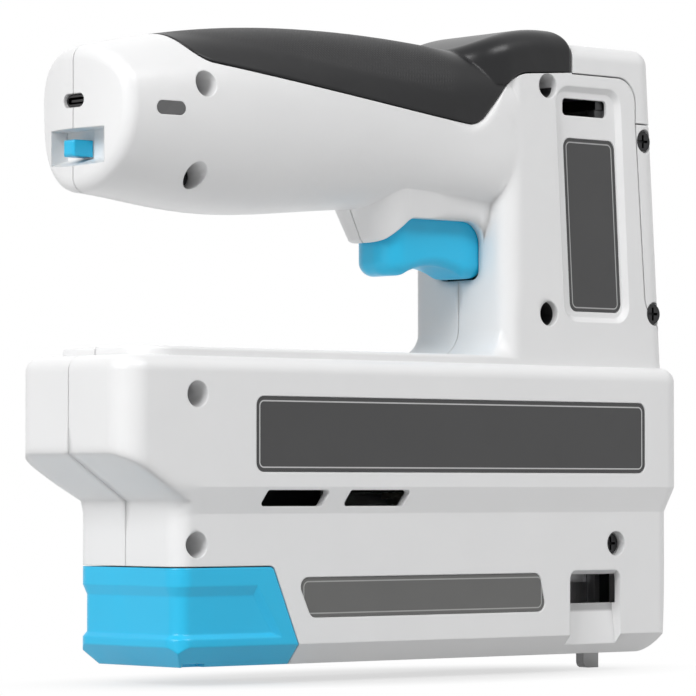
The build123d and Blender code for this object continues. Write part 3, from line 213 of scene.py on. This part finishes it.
def casing_zones_group():
    """Painted shade on the inner walls behind vents and windows, and soft blends under the handle and
    the tail.
    """
    group, start, end = new_group(
        "casing zones",
        [("Inner Fade", "NodeSocketFloat", 0.0002), ("Blend Fade", "NodeSocketFloat", 0.006)],
        [("Inside", "NodeSocketFloat"), ("Blend", "NodeSocketFloat")],
    )
    place = group.nodes.new("ShaderNodeTexCoord")

    def zone(low, high, fade):
        offset = group.nodes.new("ShaderNodeVectorMath")
        offset.operation = "SUBTRACT"
        offset.inputs[1].default_value = tuple((a + b) / 2 for a, b in zip(low, high))
        join(group, place.outputs["Object"], offset.inputs[0])
        mirrored = group.nodes.new("ShaderNodeVectorMath")
        mirrored.operation = "ABSOLUTE"
        join(group, offset.outputs[0], mirrored.inputs[0])
        past = group.nodes.new("ShaderNodeVectorMath")
        past.operation = "SUBTRACT"
        past.inputs[1].default_value = tuple((b - a) / 2 for a, b in zip(low, high))
        join(group, mirrored.outputs[0], past.inputs[0])
        parts = group.nodes.new("ShaderNodeSeparateXYZ")
        join(group, past.outputs[0], parts.inputs[0])
        furthest = larger(larger(parts.outputs["X"], parts.outputs["Y"]), parts.outputs["Z"])
        inside = group.nodes.new("ShaderNodeMapRange")
        inside.inputs["From Max"].default_value = 0.0
        join(group, furthest, inside.inputs["Value"])
        join(group, fade, inside.inputs["From Min"])
        return inside.outputs["Result"]

    def larger(first, second):
        node = group.nodes.new("ShaderNodeMath")
        node.operation = "MAXIMUM"
        join(group, first, node.inputs[0])
        join(group, second, node.inputs[1])
        return node.outputs[0]

    inner_fade = start.outputs["Inner Fade"]
    blend_fade = start.outputs["Blend Fade"]
    # The head and base zones mark the inner walls that get painted shade.
    head_shade_zone = zone((0.0385, -0.0177, 0.084), (0.087, 0.0177, 0.157), inner_fade)
    base_shade_zone = zone((-0.070, -0.0178, 0.005), (0.087, 0.0178, 0.075), inner_fade)
    hood_blend = zone((0.020, -0.030, 0.100), (0.046, 0.030, 0.148), blend_fade)
    tail_blend = zone((-0.110, -0.030, 0.040), (-0.080, 0.030, 0.056), blend_fade)
    join(group, larger(head_shade_zone, base_shade_zone), end.inputs["Inside"])
    join(group, larger(hood_blend, tail_blend), end.inputs["Blend"])
    return group


casing_zones = casing_zones_group()
white_casing, tree, skin = finish_material("white casing")
texture = place_group(tree, moulded_grain, Grain_Size=0.0006)
marks = place_group(tree, handling_marks, Spread=48.0)
zones = place_group(tree, casing_zones)
outer_white = two_tone(tree, texture.outputs["Tone"], (0.785, 0.786, 0.79), (0.82, 0.82, 0.822))
# Painted shade: inside the head and base zones the base colour turns near black, standing in for the
# shade inside the closed casing.
painted_inner_shade = tree.nodes.new("ShaderNodeMix")
painted_inner_shade.data_type = "RGBA"
painted_inner_shade.inputs["B"].default_value = (0.035, 0.035, 0.037, 1.0)
join(tree, outer_white, painted_inner_shade.inputs["A"])
join(tree, zones.outputs["Inside"], painted_inner_shade.inputs["Factor"])
join(tree, painted_inner_shade.outputs["Result"], skin.inputs["Base Color"])
join(tree, span(tree, marks.outputs["Mask"], low=0.34, high=0.42), skin.inputs["Roughness"])
edge_radius = span(tree, zones.outputs["Blend"], low=0.0005, high=0.0045)
edges = soft_edges(tree, edge_radius)
casing_normal = bumped(tree, texture.outputs["Height"], strength=0.12, distance=0.00006, normal=edges)
join(tree, casing_normal, skin.inputs["Normal"])
skin.inputs["IOR"].default_value = 1.5
dress(white_casing, "right_housing", "left_housing", "front_cover", "top_cap")

# Contact foot at the nose: a small white tongue of the same plastic, guided in the sole.
# A light spring behind it lets it slip flush when the nose is pressed onto the work.
foot_white = moulded_plastic(
    "foot white", tone=(0.80, 0.80, 0.80), deep=(0.74, 0.74, 0.745),
    gloss=0.30, worn_gloss=0.45, grain=0.0005)
dress(foot_white, "foot")

# Glide pad: a strip of smooth grey acetal let into the sole, scuffed along the way the tool is pushed.
# It is pressed into a shallow recess and is the face that the tool rests on.
glide_grey = moulded_plastic(
    "glide grey", tone=(0.50, 0.50, 0.50), deep=(0.42, 0.42, 0.425),
    gloss=0.45, worn_gloss=0.6, grain=0.0004)
dress(glide_grey, "sole_pad")

# Trigger, magazine end cap and power slider: the touch points, moulded in cyan blue.
# The trigger turns on a steel pin, the end cap closes the magazine, the slider moves in its pocket.
cyan_touch = moulded_plastic(
    "cyan touch points", tone=(0.016, 0.52, 0.83), deep=(0.013, 0.47, 0.77),
    gloss=0.30, worn_gloss=0.40, grain=0.0006, edge=0.0008)
dress(cyan_touch, "trigger", "end_cap", "power_slider")


# Grip: soft black elastomer moulded over the top of the handle, with a fine lattice under the palm.
# The lattice fades out down the flank and over the smooth dome at the head.
def palm_lattice_group():
    """Fine crossed ridges, held to the palm side of the grip."""
    group, start, end = new_group(
        "palm lattice",
        [("Pitch", "NodeSocketFloat", 0.0011)],
        [("Height", "NodeSocketFloat"), ("Palm", "NodeSocketFloat")],
    )
    place = group.nodes.new("ShaderNodeTexCoord")
    parts = group.nodes.new("ShaderNodeSeparateXYZ")
    join(group, place.outputs["Object"], parts.inputs[0])
    turn = group.nodes.new("ShaderNodeMath")
    turn.operation = "DIVIDE"
    turn.inputs[0].default_value = 2.0 * math.pi
    join(group, start.outputs["Pitch"], turn.inputs[1])

    def ridge(sign):
        mix = group.nodes.new("ShaderNodeMath")
        mix.operation = "MULTIPLY_ADD"
        mix.inputs[1].default_value = sign
        join(group, parts.outputs["Y"], mix.inputs[0])
        join(group, parts.outputs["X"], mix.inputs[2])
        phase = group.nodes.new("ShaderNodeMath")
        phase.operation = "MULTIPLY"
        join(group, mix.outputs[0], phase.inputs[0])
        join(group, turn.outputs[0], phase.inputs[1])
        wave = group.nodes.new("ShaderNodeMath")
        wave.operation = "SINE"
        join(group, phase.outputs[0], wave.inputs[0])
        return wave.outputs[0]

    lattice = group.nodes.new("ShaderNodeMath")
    lattice.operation = "MAXIMUM"
    join(group, ridge(1.0), lattice.inputs[0])
    join(group, ridge(-1.0), lattice.inputs[1])
    drop = group.nodes.new("ShaderNodeMath")
    drop.operation = "MULTIPLY_ADD"
    handle_slope = 0.127
    drop.inputs[1].default_value = handle_slope
    join(group, parts.outputs["X"], drop.inputs[0])
    join(group, parts.outputs["Z"], drop.inputs[2])
    flank = group.nodes.new("ShaderNodeMapRange")
    flank.interpolation_type = "SMOOTHSTEP"
    flank.inputs["From Min"].default_value = 0.1535
    flank.inputs["From Max"].default_value = 0.1565
    join(group, drop.outputs[0], flank.inputs["Value"])
    front = group.nodes.new("ShaderNodeMapRange")
    front.interpolation_type = "SMOOTHSTEP"
    front.inputs["From Min"].default_value = 0.022
    front.inputs["From Max"].default_value = 0.012
    join(group, parts.outputs["X"], front.inputs["Value"])
    palm = group.nodes.new("ShaderNodeMath")
    palm.operation = "MULTIPLY"
    join(group, flank.outputs["Result"], palm.inputs[0])
    join(group, front.outputs["Result"], palm.inputs[1])
    height = group.nodes.new("ShaderNodeMath")
    height.operation = "MULTIPLY"
    join(group, lattice.outputs[0], height.inputs[0])
    join(group, palm.outputs[0], height.inputs[1])
    join(group, height.outputs[0], end.inputs["Height"])
    join(group, palm.outputs[0], end.inputs["Palm"])
    return group


palm_lattice = palm_lattice_group()
grip_black, tree, skin = finish_material("black grip")
lattice = place_group(tree, palm_lattice, Pitch=0.0010)
marks = place_group(tree, handling_marks, Spread=40.0)
grip_tone = two_tone(tree, marks.outputs["Mask"], (0.011, 0.011, 0.012), (0.015, 0.015, 0.016))
join(tree, grip_tone, skin.inputs["Base Color"])
join(tree, span(tree, lattice.outputs["Palm"], low=0.30, high=0.46), skin.inputs["Roughness"])
edges = soft_edges(tree, radius=0.0012)
grip_normal = bumped(tree, lattice.outputs["Height"], strength=0.35, distance=0.00008, normal=edges)
join(tree, grip_normal, skin.inputs["Normal"])
skin.inputs["IOR"].default_value = 1.5
skin.inputs["Specular IOR Level"].default_value = 0.3
dress(grip_black, "grip")


# Bare plates: thin printed film, left plain but for a fine border line, stuck into shallow recesses.
# A dark one lies along the deck and one in the column's panel, and a grey one on the block.
def plate_border_group():
    """Line that follows the rounded outline of a plate at a small distance."""
    group, start, end = new_group(
        "plate border",
        [
            ("Middle", "NodeSocketVector", (0.0, 0.0, 0.0)),
            ("Half", "NodeSocketVector", (0.01, 0.0, 0.01)),
            ("Lean", "NodeSocketFloat", 0.0), ("Corner", "NodeSocketFloat", 0.002),
            ("Inset", "NodeSocketFloat", 0.001), ("Line", "NodeSocketFloat", 0.0002),
        ],
        [("Mask", "NodeSocketFloat")],
    )

    def math_node(operation, first, second):
        node = group.nodes.new("ShaderNodeMath")
        node.operation = operation
        for slot, value in enumerate((first, second)):
            if isinstance(value, float):
                node.inputs[slot].default_value = value
            else:
                join(group, value, node.inputs[slot])
        return node.outputs[0]

    place = group.nodes.new("ShaderNodeTexCoord")
    offset = group.nodes.new("ShaderNodeVectorMath")
    offset.operation = "SUBTRACT"
    join(group, place.outputs["Object"], offset.inputs[0])
    join(group, start.outputs["Middle"], offset.inputs[1])
    parts = group.nodes.new("ShaderNodeSeparateXYZ")
    join(group, offset.outputs[0], parts.inputs[0])
    half = group.nodes.new("ShaderNodeSeparateXYZ")
    join(group, start.outputs["Half"], half.inputs[0])
    leaning = math_node("MULTIPLY", parts.outputs["Z"], start.outputs["Lean"])
    across = math_node("ABSOLUTE", math_node("ADD", parts.outputs["X"], leaning), 0.0)
    upward = math_node("ABSOLUTE", parts.outputs["Z"], 0.0)
    wide = math_node("ADD", math_node("SUBTRACT", across, half.outputs["X"]), start.outputs["Corner"])
    tall = math_node("ADD", math_node("SUBTRACT", upward, half.outputs["Z"]), start.outputs["Corner"])
    past_wide = math_node("MAXIMUM", wide, 0.0)
    past_tall = math_node("MAXIMUM", tall, 0.0)
    square = math_node("ADD", math_node("POWER", past_wide, 2.0), math_node("POWER", past_tall, 2.0))
    inside = math_node("MINIMUM", math_node("MAXIMUM", wide, tall), 0.0)
    reach = math_node("ADD", math_node("SQRT", square, 0.0), inside)
    depth = math_node("SUBTRACT", reach, start.outputs["Corner"])
    from_line = math_node("ABSOLUTE", math_node("ADD", depth, start.outputs["Inset"]), 0.0)
    fade = group.nodes.new("ShaderNodeMapRange")
    join(group, from_line, fade.inputs["Value"])
    join(group, start.outputs["Line"], fade.inputs["From Min"])
    join(group, math_node("MULTIPLY", start.outputs["Line"], 0.5), fade.inputs["From Max"])
    join(group, fade.outputs["Result"], end.inputs["Mask"])
    return group


plate_border = plate_border_group()


def plate_film(name, node, tone, line_tone, lean, inset):
    low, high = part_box(node)
    middle = (low + high) / 2
    half = (high - low) / 2
    material, tree, skin = finish_material(name)
    border = place_group(
        tree, plate_border, Middle=middle, Lean=lean, Corner=0.0025, Inset=inset, Line=0.00022)
    border.inputs["Half"].default_value = (half.x - abs(lean) * half.z, half.y, half.z)
    texture = place_group(tree, moulded_grain, Grain_Size=0.0003)
    marks = place_group(tree, handling_marks, Spread=70.0)
    deep = tuple(value * 0.86 for value in tone)
    film = two_tone(tree, texture.outputs["Tone"], deep, tone)
    painted = tree.nodes.new("ShaderNodeMix")
    painted.data_type = "RGBA"
    painted.inputs["B"].default_value = (*line_tone, 1.0)
    join(tree, film, painted.inputs["A"])
    join(tree, border.outputs["Mask"], painted.inputs["Factor"])
    join(tree, painted.outputs["Result"], skin.inputs["Base Color"])
    join(tree, span(tree, marks.outputs["Mask"], low=0.38, high=0.5), skin.inputs["Roughness"])
    film_normal = bumped(tree, texture.outputs["Height"], strength=0.1, distance=0.00003)
    join(tree, film_normal, skin.inputs["Normal"])
    dress(material, node)


plate_film(
    "deck plate film", "side_plate", tone=(0.046, 0.046, 0.047), line_tone=(0.55, 0.55, 0.55),
    lean=0.0, inset=0.0011)
plate_film(
    "column plate film", "column_plate", tone=(0.046, 0.046, 0.047), line_tone=(0.40, 0.40, 0.40),
    lean=0.0563, inset=0.0010)
plate_film(
    "block plate film", "rating_plate", tone=(0.125, 0.125, 0.122), line_tone=(0.36, 0.36, 0.355),
    lean=0.0, inset=0.0010)

# Charge light: a smoked lens let into the flank above the slider, dark when the tool isn't charging.
# It is a pill of clear tinted plastic, polished, with a light guide behind it.
lens_smoke, tree, skin = finish_material("smoked lens")
marks = place_group(tree, handling_marks, Spread=120.0)
lens_tone = two_tone(tree, marks.outputs["Mask"], (0.085, 0.085, 0.087), (0.105, 0.105, 0.107))
join(tree, lens_tone, skin.inputs["Base Color"])
join(tree, span(tree, marks.outputs["Mask"], low=0.12, high=0.2), skin.inputs["Roughness"])
skin.inputs["Coat Weight"].default_value = 0.4
dress(lens_smoke, "charge_light")


# Steel: turned, stamped and drawn pieces, from the socket and screws to rods, springs and the channel.
# Each shows the fine scratches of its making, which stretch along one way.
def drawn_scratches_group():
    """Fine scratches stretched along the height of a piece."""
    group, start, end = new_group(
        "drawn scratches",
        [("Fineness", "NodeSocketFloat", 2600.0)],
        [("Mask", "NodeSocketFloat")],
    )
    place = group.nodes.new("ShaderNodeTexCoord")
    stretch = group.nodes.new("ShaderNodeVectorMath")
    stretch.operation = "MULTIPLY"
    drawn_out = (1.0, 1.0, 0.04)
    stretch.inputs[1].default_value = drawn_out
    join(group, place.outputs["Object"], stretch.inputs[0])
    lines = group.nodes.new("ShaderNodeTexNoise")
    lines.inputs["Detail"].default_value = 3.0
    join(group, stretch.outputs[0], lines.inputs["Vector"])
    join(group, start.outputs["Fineness"], lines.inputs["Scale"])
    join(group, lines.outputs["Fac"], end.inputs["Mask"])
    return group


drawn_scratches = drawn_scratches_group()


def worked_metal(name, tone, deep, gloss, rough, fineness):
    material, tree, skin = finish_material(name)
    lines = place_group(tree, drawn_scratches, Fineness=fineness)
    join(tree, two_tone(tree, lines.outputs["Mask"], deep, tone), skin.inputs["Base Color"])
    join(tree, span(tree, lines.outputs["Mask"], gloss, rough), skin.inputs["Roughness"])
    worked_normal = bumped(tree, lines.outputs["Mask"], strength=0.15, distance=0.00002)
    join(tree, worked_normal, skin.inputs["Normal"])
    skin.inputs["Metallic"].default_value = 1.0
    return material


bright_steel = worked_metal(
    "bright steel", tone=(0.66, 0.66, 0.67), deep=(0.52, 0.52, 0.53),
    gloss=0.22, rough=0.42, fineness=2600.0)
dress(
    bright_steel, "trigger_pin", "trigger_spring", "right_gear_plate", "left_gear_plate", "drive_axle",
    "idler_axle", "driver", "hammer_spring", "right_rod", "left_rod", "foot_spring",
    "channel", "pusher_coil",
)
screw_black = worked_metal(
    "black oxide screws", tone=(0.055, 0.055, 0.057), deep=(0.030, 0.030, 0.031),
    gloss=0.35, rough=0.55, fineness=1800.0)
dress(screw_black, *[name for name in nodes_of_frame if "screw" in name])
# Painted shade: this steel is given a near black tone so that the socket reads as a dark hole; the
# spring seat shares it.
socket_shade_steel = worked_metal(
    "nickel with painted shade", tone=(0.075, 0.075, 0.077), deep=(0.045, 0.045, 0.046),
    gloss=0.3, rough=0.45, fineness=2200.0)
dress(socket_shade_steel, "socket", "spring_seat")
gear_steel = worked_metal(
    "sintered gear steel", tone=(0.42, 0.42, 0.43), deep=(0.33, 0.33, 0.34),
    gloss=0.42, rough=0.6, fineness=1100.0)
dress(gear_steel, "drive_gear", "nose_plate")
cast_alloy = worked_metal(
    "cast alloy", tone=(0.58, 0.58, 0.59), deep=(0.46, 0.46, 0.47),
    gloss=0.4, rough=0.62, fineness=900.0)
dress(cast_alloy, "hammer")
plated_can = worked_metal(
    "plated motor can", tone=(0.52, 0.52, 0.53), deep=(0.40, 0.40, 0.41),
    gloss=0.3, rough=0.45, fineness=1400.0)
dress(plated_can, "motor", "rotor")
tinned_contact = worked_metal(
    "tinned contacts", tone=(0.76, 0.74, 0.68), deep=(0.62, 0.60, 0.54),
    gloss=0.25, rough=0.4, fineness=2000.0)
dress(tinned_contact, "rear_contact", "front_contact")


# Springs under load: the hammer, the trigger's plunger and the foot each press a coil, which shortens.
# A copy of the coil, fixed to the body, stands for its node, which is hidden.
def pressed_spring(node):
    coil = bpy.data.objects.new("pressed_" + node, nodes_of_frame[node].data.copy())
    bpy.context.scene.collection.objects.link(coil)
    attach(coil, "body")
    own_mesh(coil)
    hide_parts(node)


pressed_spring("hammer_spring")
pressed_spring("trigger_spring")
pressed_spring("foot_spring")

# Switches, pusher, guide block and gears: small technical mouldings in black nylon and cream acetal.
# They sit inside the casing, and show only when the magazine is out or through a window.
black_nylon = moulded_plastic(
    "black nylon", tone=(0.040, 0.040, 0.041), deep=(0.030, 0.030, 0.031),
    gloss=0.42, worn_gloss=0.55, grain=0.0004)
dress(black_nylon, "power_switch", "trigger_switch", "plunger", "guide_block", "pusher")
cream_acetal = moulded_plastic(
    "cream acetal", tone=(0.76, 0.73, 0.64), deep=(0.68, 0.65, 0.56),
    gloss=0.36, worn_gloss=0.5, grain=0.0004)
dress(cream_acetal, "idler_gear")
bumper_rubber = moulded_plastic(
    "bumper rubber", tone=(0.030, 0.030, 0.030), deep=(0.022, 0.022, 0.022),
    gloss=0.6, worn_gloss=0.75, grain=0.0005)
dress(bumper_rubber, "right_bumper", "left_bumper")

# Cell and charging board: a round cell in a green shrink sleeve, and a lacquered board under the socket.
# The cell lies in ribs along the handle, the board rests on ledges behind the rear end.
cell_sleeve = moulded_plastic(
    "cell sleeve", tone=(0.05, 0.26, 0.15), deep=(0.04, 0.21, 0.12),
    gloss=0.22, worn_gloss=0.34, grain=0.0009)
dress(cell_sleeve, "battery")
board_lacquer = moulded_plastic(
    "board lacquer", tone=(0.03, 0.19, 0.07), deep=(0.025, 0.14, 0.05),
    gloss=0.25, worn_gloss=0.38, grain=0.0007)
dress(board_lacquer, "board")

# Studio: pale floor and white backdrop, a broad lamp above the rear end, a weaker one on the near side
# and a fill on the far side.
# The camera stands low on the right rear side, as in the photograph, with a long lens.
floor_level = cad_box[0][2]
floor_mesh = bpy.data.meshes.new("studio floor")
floor_reach = 6.0
floor_mesh.from_pydata(
    [(-floor_reach, -floor_reach, floor_level), (floor_reach, -floor_reach, floor_level),
     (floor_reach, floor_reach, floor_level), (-floor_reach, floor_reach, floor_level)],
    [], [(0, 1, 2, 3)])
floor = bpy.data.objects.new("studio_floor", floor_mesh)
bpy.context.scene.collection.objects.link(floor)
floor_paint, tree, skin = finish_material("pale floor")
mottle = tree.nodes.new("ShaderNodeTexNoise")
mottle.inputs["Scale"].default_value = 6.0
floor_tone = two_tone(tree, mottle.outputs["Fac"], (0.50, 0.50, 0.50), (0.53, 0.53, 0.53))
join(tree, floor_tone, skin.inputs["Base Color"])
skin.inputs["Roughness"].default_value = 0.75


def seen_directly(tree):
    """One for rays from the camera, in a mirror or through glass, and nought for other light."""
    path = tree.nodes.new("ShaderNodeLightPath")
    mirrored = tree.nodes.new("ShaderNodeMath")
    mirrored.operation = "MAXIMUM"
    join(tree, path.outputs["Is Camera Ray"], mirrored.inputs[0])
    join(tree, path.outputs["Is Glossy Ray"], mirrored.inputs[1])
    through = tree.nodes.new("ShaderNodeMath")
    through.operation = "MAXIMUM"
    join(tree, mirrored.outputs[0], through.inputs[0])
    join(tree, path.outputs["Is Transmission Ray"], through.inputs[1])
    return through.outputs[0]


spot = tree.nodes.new("ShaderNodeTexCoord")
flatten = tree.nodes.new("ShaderNodeVectorMath")
flatten.operation = "MULTIPLY"
shadow_shape = (1.0, 2.2, 0.0)
flatten.inputs[1].default_value = shadow_shape
join(tree, spot.outputs["Object"], flatten.inputs[0])
away = tree.nodes.new("ShaderNodeVectorMath")
away.operation = "LENGTH"
join(tree, flatten.outputs[0], away.inputs[0])
open_floor = tree.nodes.new("ShaderNodeMapRange")
open_floor.interpolation_type = "SMOOTHSTEP"
open_floor.inputs["From Min"].default_value = 0.05
open_floor.inputs["From Max"].default_value = 0.125
open_floor.inputs["To Min"].default_value = 0.66
join(tree, away.outputs["Value"], open_floor.inputs["Value"])
whiteness = tree.nodes.new("ShaderNodeMath")
whiteness.operation = "MULTIPLY"
join(tree, open_floor.outputs["Result"], whiteness.inputs[0])
join(tree, seen_directly(tree), whiteness.inputs[1])
white_glow = tree.nodes.new("ShaderNodeEmission")
white_glow.inputs["Color"].default_value = (1.0, 1.0, 1.0, 1.0)
white_glow.inputs["Strength"].default_value = 1.0
floor_mix = tree.nodes.new("ShaderNodeMixShader")
join(tree, whiteness.outputs[0], floor_mix.inputs[0])
join(tree, skin.outputs[0], floor_mix.inputs[1])
join(tree, white_glow.outputs[0], floor_mix.inputs[2])
join(tree, floor_mix.outputs[0], tree.nodes["Material Output"].inputs["Surface"])
floor_mesh.materials.append(floor_paint)

world = bpy.data.worlds.new("studio")
bpy.context.scene.world = world
world.use_nodes = True
air = world.node_tree
backdrop = air.nodes["Background"]
level = air.nodes.new("ShaderNodeMapRange")
level.inputs["To Min"].default_value = 0.21
level.inputs["To Max"].default_value = 1.0
join(air, seen_directly(air), level.inputs["Value"])
backdrop.inputs["Color"].default_value = (1.0, 1.0, 1.0, 1.0)
join(air, level.outputs["Result"], backdrop.inputs["Strength"])


def studio_lamp(name, place, aim, size, power):
    lamp = bpy.data.lights.new(name, "AREA")
    lamp.shape = "RECTANGLE"
    lamp.size = size[0]
    lamp.size_y = size[1]
    lamp.energy = power
    shown = bpy.data.objects.new(name, lamp)
    shown.location = place
    shown.rotation_euler = (Vector(aim) - Vector(place)).to_track_quat("-Z", "Y").to_euler()
    bpy.context.scene.collection.objects.link(shown)
    return shown


studio_lamp(
    "key lamp", place=(-1.6, -0.40, 1.1), aim=(0.0, 0.0, 0.09), size=(1.0, 0.9), power=28.0)
studio_lamp(
    "front lamp", place=(0.3, -1.5, 1.6), aim=(0.0, 0.0, 0.08), size=(1.2, 0.7), power=19.5)
fill = studio_lamp(
    "back lamp", place=(0.7, 1.4, 1.3), aim=(0.0, 0.0, 0.1), size=(1.0, 0.6), power=15.0)
# It only fills the far side, and puts no glare on the slope of the grip.
fill.visible_glossy = False

view = bpy.data.cameras.new("photo camera")
view.sensor_width = 36.0
view.lens = 209.5
camera = bpy.data.objects.new("photo camera", view)
camera.location = (-0.7216, -0.8300, 0.0454)
pitch = math.radians(2.008)
heading = (0.653, 0.757)
ahead = Vector((heading[0] * math.cos(pitch), heading[1] * math.cos(pitch), math.sin(pitch)))
camera.rotation_euler = ahead.to_track_quat("-Z", "Y").to_euler()
bpy.context.scene.collection.objects.link(camera)
bpy.context.scene.camera = camera
bpy.context.scene.view_settings.view_transform = "Standard"
